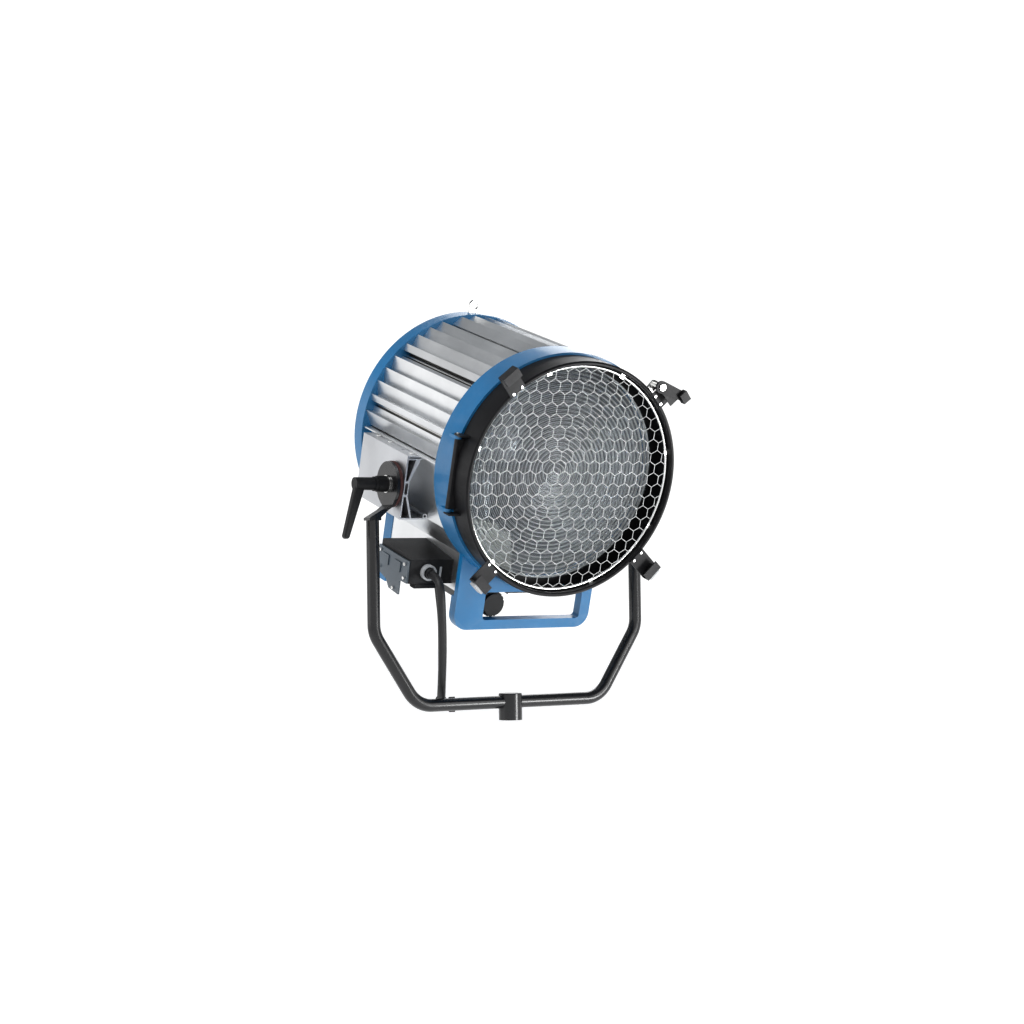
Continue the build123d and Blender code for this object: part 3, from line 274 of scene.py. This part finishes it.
def ringed_glass(name, tint, node, pitch):
    """Lens glass, with a pale line painted on each riser between its rings as a painted highlight, and a
    painted whitish haze in soft patches over the glass.
    """
    n = Nodes(name)
    to_local = node.matrix_world.inverted()
    centre = to_local @ drum_point(0.0, 0.0, 0.0)
    ahead = (to_local.to_3x3() @ AHEAD).normalized()
    offset = n.add("VectorMath", operation="SUBTRACT")
    n.link(n.place(), offset.inputs[0])
    offset.inputs[1].default_value = centre
    cross = n.add("VectorMath", operation="CROSS_PRODUCT")
    n.link(offset.outputs[0], cross.inputs[0])
    cross.inputs[1].default_value = ahead
    length = n.add("VectorMath", operation="LENGTH")
    n.link(cross.outputs[0], length.inputs[0])
    share = n.math("FRACT", n.math("DIVIDE", length.outputs["Value"], pitch), 0.0)
    # painted highlight: each riser gets a near-white, less clear line, painted in for the bright rings that
    # light picks out on the risers
    line = n.ramp(share, [(0.0, WHITE), (0.06, WHITE), (0.12, BLACK), (0.94, BLACK), (1.0, WHITE)])
    dust = n.noise(16.0, detail=6.0)
    # painted reflection: soft patches where the glass is less clear, so the pale tint shows as a whitish
    # haze, painted in for a softbox reflected in the lens; the tint is also a little darker where the noise
    # gives dust
    painted_haze_patches = n.noise(5.0, detail=3.0)
    dust_and_painted_haze = n.ramp(dust, [(0.3, shade(tint, 0.88)), (0.7, shade(tint, 1.0))])
    n.link(n.mix(line, dust_and_painted_haze, (0.95, 0.97, 0.98, 1.0)), n.shader.inputs["Base Color"])
    # transmission is lower on the painted riser lines and in the painted haze patches
    clear = n.math("MULTIPLY", n.span(line, 0.95, 0.60), n.span(painted_haze_patches, 0.90, 1.04))
    n.link(clear, n.shader.inputs["Transmission Weight"])
    n.link(n.math("ADD", n.span(line, 0.06, 0.30), n.span(dust, 0.0, 0.06)), n.shader.inputs["Roughness"])
    n.set(IOR=1.28)
    return n.material


def woven(name, colour):
    """Strap webbing: two crossed sets of fine threads."""
    n = Nodes(name)
    threads = []
    for scale in ((1.0, 0.0, 1.0), (0.0, 1.0, 1.0)):
        wave = n.add("TexWave")
        wave.inputs["Scale"].default_value = 260.0
        n.link(n.stretched(*scale), wave.inputs["Vector"])
        threads.append(wave.outputs["Fac"])
    weave = n.math("MULTIPLY", threads[0], threads[1])
    base = n.ramp(weave, [(0.1, shade(colour, 0.7)), (0.8, shade(colour, 1.4))])
    n.link(base, n.shader.inputs["Base Color"])
    n.set(Roughness=0.9, Sheen_Weight=0.3)
    n.bump(weave, 0.5, 0.0004)
    return n.material


MATERIALS = {
    "blue_paint": coated(
        "blue_paint",
        (0.002, 0.125, 0.29),
        0.38,
        grain=700,
        strength=0.22,
        depth=0.0004,
        coat=0.25,
        wear=0.35,
        gloss=0.4,
    ),
    "silver_skin": metal("silver_skin", (0.80, 0.81, 0.82), 0.34, along=(1, 0.06, 0.06)),
    "rail_alu": metal("rail_alu", (0.58, 0.59, 0.61), 0.44, along=(1, 0.05, 0.05)),
    "black_paint": coated("black_paint", (0.005, 0.005, 0.006), 0.26, coat=0.2, strength=0.04, wear=0.04),
    "door_black": coated("door_black", (0.005, 0.005, 0.006), 0.42, strength=0.18, wear=0.2, gloss=0.25),
    "black_plastic": coated(
        "black_plastic",
        (0.008, 0.008, 0.009),
        0.48,
        grain=1400,
        strength=0.3,
        wear=0.12,
        gloss=0.3,
        bare=(0.12, 0.12, 0.12),
    ),
    "grey_plastic": coated(
        "grey_plastic",
        (0.36, 0.37, 0.38),
        0.48,
        grain=1400,
        strength=0.25,
        wear=0.15,
        bare=(0.55, 0.55, 0.55),
    ),
    "cover_grey": coated("cover_grey", (0.06, 0.08, 0.10), 0.38, strength=0.15, coat=0.2),
    "bright_steel": metal("bright_steel", (0.80, 0.80, 0.79), 0.24, brush=500),
    # pale lens tint: where the glass is made less clear it paints in a whitish haze for a reflection, and
    # near-white painted highlights on the risers
    "lens_glass": ringed_glass("lens_glass", (0.84, 0.88, 0.91), frame["nodes"]["fresnel_lens"], LENS_PITCH),
    "bulb_glass": glassy("bulb_glass", (0.97, 0.98, 0.98), 0.01, 0.05),
    "mirror_alu": metal("mirror_alu", (0.90, 0.90, 0.91), 0.10, brush=120),
    "liner_steel": metal("liner_steel", (0.40, 0.39, 0.38), 0.50, tarnish=0.6),
    "friction": coated("friction", (0.05, 0.012, 0.010), 0.75, strength=0.5, wear=0.1),
    "cable_rubber": coated(
        "cable_rubber",
        (0.010, 0.010, 0.011),
        0.52,
        grain=600,
        strength=0.25,
        wear=0.0,
        bare=(0.05, 0.05, 0.05),
    ),
    "ceramic": coated(
        "ceramic",
        (0.74, 0.71, 0.62),
        0.25,
        strength=0.1,
        wear=0.2,
        coat=0.4,
        bare=(0.5, 0.47, 0.4),
    ),
    "tungsten": metal("tungsten", (0.32, 0.31, 0.30), 0.35),
    "tie_strap": woven("tie_strap", (0.03, 0.03, 0.035)),
    "galvanised": coated("galvanised", (0.74, 0.75, 0.75), 0.45, wear=0.0, strength=0.05),
}

node_slot = {part["node"]: part["material_slot"] for part in frame["record"]["subparts"]}
for node, obj in frame["nodes"].items():
    slots = obj.material_slots
    for index in range(len(slots)):
        slots[index].material = MATERIALS[node_slot[node]]


# ---------------------------------------------------------------- mesh helpers
def mesh_object(name, mesh, slot, body=None):
    """A new piece with its material, riding on a body."""
    obj = bpy.data.objects.new(name, mesh)
    bpy.context.scene.collection.objects.link(obj)
    mesh.materials.append(MATERIALS[slot])
    if body:
        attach(obj, body)
    return obj


def from_bmesh(name, bm, slot, body=None, smooth=True):
    bmesh.ops.recalc_face_normals(bm, faces=bm.faces)
    mesh = bpy.data.meshes.new(name)
    bm.to_mesh(mesh)
    bm.free()
    if smooth:
        mesh.shade_smooth()
    return mesh_object(name, mesh, slot, body)


def smooth_line(points):
    """The points of the NURBS spline that has the given control points."""
    curve = bpy.data.curves.new("route", "CURVE")
    curve.dimensions = "3D"
    curve.resolution_u = 10
    spline = curve.splines.new("NURBS")
    spline.points.add(len(points) - 1)
    for place, point in zip(spline.points, points):
        place.co = (*point, 1.0)
    spline.order_u = 3
    spline.use_endpoint_u = True
    holder = bpy.data.objects.new("route", curve)
    line = bpy.data.meshes.new_from_object(holder)
    places = [vertex.co.copy() for vertex in line.vertices]
    bpy.data.objects.remove(holder)
    bpy.data.curves.remove(curve)
    return places


def tube(bm, places, radius, sides=20):
    """A closed round tube along the places, with a frame carried along the line."""
    count = len(places)
    tangents = [(places[min(i + 1, count - 1)] - places[max(i - 1, 0)]).normalized() for i in range(count)]
    normal = tangents[0].orthogonal().normalized()
    rings = []
    for place, tangent in zip(places, tangents):
        normal = (normal - tangent * normal.dot(tangent)).normalized()
        side = tangent.cross(normal)
        ring = []
        for step in range(sides):
            turn = 2 * math.pi * step / sides
            ring.append(bm.verts.new(place + (normal * math.cos(turn) + side * math.sin(turn)) * radius))
        rings.append(ring)
    for first, second in zip(rings, rings[1:]):
        for i in range(sides):
            j = (i + 1) % sides
            bm.faces.new((first[i], first[j], second[j], second[i]))
    bm.faces.new(rings[0][::-1])
    bm.faces.new(rings[-1])


# ---------------------------------------------------------------- cable
def coil_points():
    """Three and a half turns, two wide and two deep, from the left side round to the right.

    Each turn moves over by one cable width in a sixth of a turn, after the next turn there
    has made room: inwards, then to the rear layer, then outwards."""
    per_turn = 24
    spacing = 2 * CABLE_RADIUS * 1.02
    inwards, rearwards, outwards = 0.83, 1.67, 2.5
    points = []
    for step in range(int(3.5 * per_turn) + 1):
        turns = step / per_turn

        def moved(begin):
            share = min(1.0, max(0.0, (turns - begin) * 6))
            return share * share * (3 - 2 * share)

        radius = COIL_RADIUS + spacing * (0.5 - moved(inwards) + moved(outwards))
        f = COIL_FRONT - CABLE_RADIUS - spacing * moved(rearwards)
        angle = math.pi * (1 - 2 * turns)
        points.append(head_point(COIL_X + radius * math.cos(angle), f, COIL_U + radius * math.sin(angle)))
    return points


def route_points():
    """The cable's control points: out of the gland, down, under the head and up to the coil."""
    exit_place = head_point(GLAND_X, RELIEF_END, GLAND_U)
    listed_places = [
        (-0.1915, -0.069, -0.204),
        (-0.1875, -0.064, -0.247),
        (-0.174, -0.042, -0.303),
        (-0.157, -0.008, -0.360),
        (-0.141, 0.026, -0.410),
        (-0.119, 0.068, -0.433),
        (-0.091, 0.117, -0.434),
        (-0.062, 0.164, -0.411),
        (-0.035, 0.210, -0.367),
        (-0.012, 0.250, -0.316),
        (0.007, 0.284, -0.261),
        (0.013, 0.307, -0.204),
        (0.008, 0.307, -0.150),
        (0.002, 0.292, -0.099),
        (0.001, 0.271, -0.048),
    ]
    points = [exit_place, exit_place + AHEAD * 0.025]
    points += [AXIS + Vector(place) for place in listed_places]
    points += coil_points()
    tail_x = COIL_X + COIL_RADIUS + CABLE_RADIUS - 0.001
    tail_f = COIL_FRONT - 3 * CABLE_RADIUS
    points += [head_point(tail_x, tail_f, COIL_U - drop) for drop in (0.022, 0.044, TAIL_DROP + 0.003)]
    return points


cable_line = smooth_line(route_points())
cable_mesh = bmesh.new()
tube(cable_mesh, cable_line, CABLE_RADIUS)
cable = from_bmesh("mains_cable", cable_mesh, "cable_rubber")
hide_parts("cable_drop", "cable_rise", "cable_loop", "cable_coil", "cable_tail")
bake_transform(cable)


# ---------------------------------------------------------------- guard netting
def netting(pitch, radius, wire, f):
    """Hexagon wire netting: one round wire on each side of a cell."""
    bm = bmesh.new()
    side = pitch / math.sqrt(3)
    row_step = 1.5 * side
    rows = int(radius / row_step) + 2
    columns = int(radius / pitch) + 2

    def strand(first, second):
        low, high = sorted((first, second), key=lambda place: math.hypot(*place))
        if math.hypot(*low) > radius:
            return

        def along(share):
            return (low[0] + (high[0] - low[0]) * share, low[1] + (high[1] - low[1]) * share)

        share = 1.0
        while math.hypot(*along(share)) > radius:
            share -= 0.05
        if share > 0.1:
            ends = [low, along(share)]
            tube(bm, [head_point(x, f, DRUM_RISE + u) for x, u in ends], wire, sides=8)

    for row in range(-rows, rows + 1):
        for column in range(-columns, columns + 1):
            x = column * pitch + (row % 2) * pitch / 2
            u = row * row_step
            high = u + side / 2
            strand((x, u - side / 2), (x, high))
            for way in (-1, 1):
                strand((x, high), (x + way * pitch / 2, high + side / 2))
    return bm


net_mesh = netting(MESH_PITCH, MESH_RADIUS, MESH_WIRE, MESH_F)
guard_net = from_bmesh("guard_netting", net_mesh, "bright_steel", "lens_door")
guard_net.data.materials[0] = MATERIALS["galvanised"]
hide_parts("guard_mesh")


# ---------------------------------------------------------------- screws
def screw_head(bm, centre, out, radius, height):
    """A domed screw head with a hexagon socket."""
    across = out.orthogonal().normalized()
    up = out.cross(across)
    sides = 24
    turns = [2 * math.pi * step / sides for step in range(sides)]

    def ring(shares, level):
        verts = []
        for turn, share in zip(turns, shares):
            spoke = (across * math.cos(turn) + up * math.sin(turn)) * radius * share
            verts.append(bm.verts.new(centre + spoke + out * height * level))
        return verts

    dome = [(1.0, 0.0), (1.0, 0.45), (0.93, 0.8), (0.75, 1.0), (0.52, 1.0)]
    rings = [ring([share] * sides, level) for share, level in dome]
    sector = math.pi / 3
    reach = SOCKET_SHARE * math.cos(sector / 2)
    hexagon = [reach / math.cos((turn % sector) - sector / 2) for turn in turns]
    rings += [ring(hexagon, level) for level in (1.0, 0.35)]
    for first, second in zip(rings, rings[1:]):
        for i in range(sides):
            j = (i + 1) % sides
            bm.faces.new((first[i], first[j], second[j], second[i]))
    bm.faces.new(rings[-1])
    bm.faces.new(rings[0][::-1])


def screws(name, places, radius, height):
    """A group of like screws on the head, each a place and the way that its head points."""
    bm = bmesh.new()
    for centre, out in places:
        screw_head(bm, centre, out, radius, height)
    from_bmesh(name, bm, "bright_steel", "head", smooth=False)


rim_angles = (20, 68, 112, 160, 200, 340)
rear_screws = [(drum_point(0.218, angle, COVER_REAR), -AHEAD) for angle in rim_angles]
rear_screws += [(head_point(x, COVER_REAR, -0.175), -AHEAD) for x in (-0.118, 0.118)]
screws("rear_cover_screws", rear_screws, 0.0055, 0.0035)

rail_screws = []
for side in (-1, 1):
    for f in (-0.12, -0.07, 0.02):
        rail_screws.append((head_point(side * 0.235, f, 0.065), ALOFT))
screws("rail_screws", rail_screws, 0.0045, 0.003)

box_places = [(-0.052, -0.145), (0.050, -0.145), (-0.050, -0.178), (0.052, -0.172), (0.014, -0.203)]
box_screws = [(head_point(-0.2345, f, u), -ACROSS) for f, u in box_places]
screws("box_screws", box_screws, 0.0035, 0.0018)


def box_strip():
    """A thin light strip on the front of the connector box."""
    left, right, top, bottom = -0.164, -0.159, -0.147, -0.175
    face, back = 0.0645, 0.0630
    bm = bmesh.new()
    corners = [(left, top), (right, top), (right, bottom), (left, bottom)]
    front = [bm.verts.new(head_point(x, face, u)) for x, u in corners]
    rim = [bm.verts.new(head_point(x, back, u)) for x, u in corners]
    bm.faces.new(front)
    bm.faces.new(rim[::-1])
    for i in range(4):
        j = (i + 1) % 4
        bm.faces.new((front[i], front[j], rim[j], rim[i]))
    bmesh.ops.bevel(bm, geom=list(bm.edges), offset=0.0005, segments=2, affect="EDGES")
    from_bmesh("box_strip", bm, "grey_plastic", "head", smooth=False)


box_strip()


# ---------------------------------------------------------------- stage and light
def add_stage():
    floor_mesh = bpy.data.meshes.new("floor")
    signs = ((-1, -1), (1, -1), (1, 1), (-1, 1))
    corners = [(x * FLOOR_REACH, y * FLOOR_REACH, FLOOR_LEVEL) for x, y in signs]
    floor_mesh.from_pydata(corners, [], [(0, 1, 2, 3)])
    floor = bpy.data.objects.new("floor", floor_mesh)
    bpy.context.scene.collection.objects.link(floor)
    n = Nodes("floor")
    base = n.ramp(n.noise(3.0), [(0.3, shade(WHITE, 0.80)), (0.7, shade(WHITE, 0.84))])
    n.link(base, n.shader.inputs["Base Color"])
    n.set(Roughness=0.8, Emission_Color=WHITE, Emission_Strength=0.55)
    floor_mesh.materials.append(n.material)


def add_light(name, place, size, power, aim=AXIS):
    data = bpy.data.lights.new(name, "AREA")
    data.shape = "RECTANGLE"
    data.size, data.size_y = size
    data.energy = power
    light = bpy.data.objects.new(name, data)
    light.location = place
    light.rotation_mode = "QUATERNION"
    light.rotation_quaternion = (Vector(aim) - Vector(place)).to_track_quat("-Z", "Y")
    bpy.context.scene.collection.objects.link(light)


def add_world():
    """White from a little above eye level down, darker overhead."""
    world = bpy.data.worlds.new("world")
    world.use_nodes = True
    tree = world.node_tree
    background = tree.nodes["Background"]
    place = tree.nodes.new("ShaderNodeTexCoord")
    split = tree.nodes.new("ShaderNodeSeparateXYZ")
    tree.links.new(place.outputs["Generated"], split.inputs[0])
    ramp = tree.nodes.new("ShaderNodeValToRGB")
    ramp.color_ramp.elements[0].position = 0.26
    ramp.color_ramp.elements[0].color = WHITE
    ramp.color_ramp.elements[1].position = 0.50
    ramp.color_ramp.elements[1].color = (0.22, 0.23, 0.24, 1.0)
    tree.links.new(split.outputs["Z"], ramp.inputs["Fac"])
    tree.links.new(ramp.outputs["Color"], background.inputs["Color"])
    background.inputs["Strength"].default_value = 1.0
    bpy.context.scene.world = world


add_stage()
add_light("key", (-2.0, -0.6, 2.8), (1.6, 1.2), 48)
add_light("front", (1.2, -3.0, 1.2), (1.2, 1.6), 16)
add_light("left", (-3.0, 0.6, 0.9), (1.6, 2.2), 8)
add_light("rear", (1.6, 2.6, 2.2), (2.0, 1.6), 24)
add_light("lens", (1.5, -2.2, -0.35), (0.7, 0.7), 28, drum_point(0.10, -30, 0.2))
add_world()
bpy.context.scene.view_settings.view_transform = "Standard"
bpy.context.scene.view_settings.look = "Medium High Contrast"
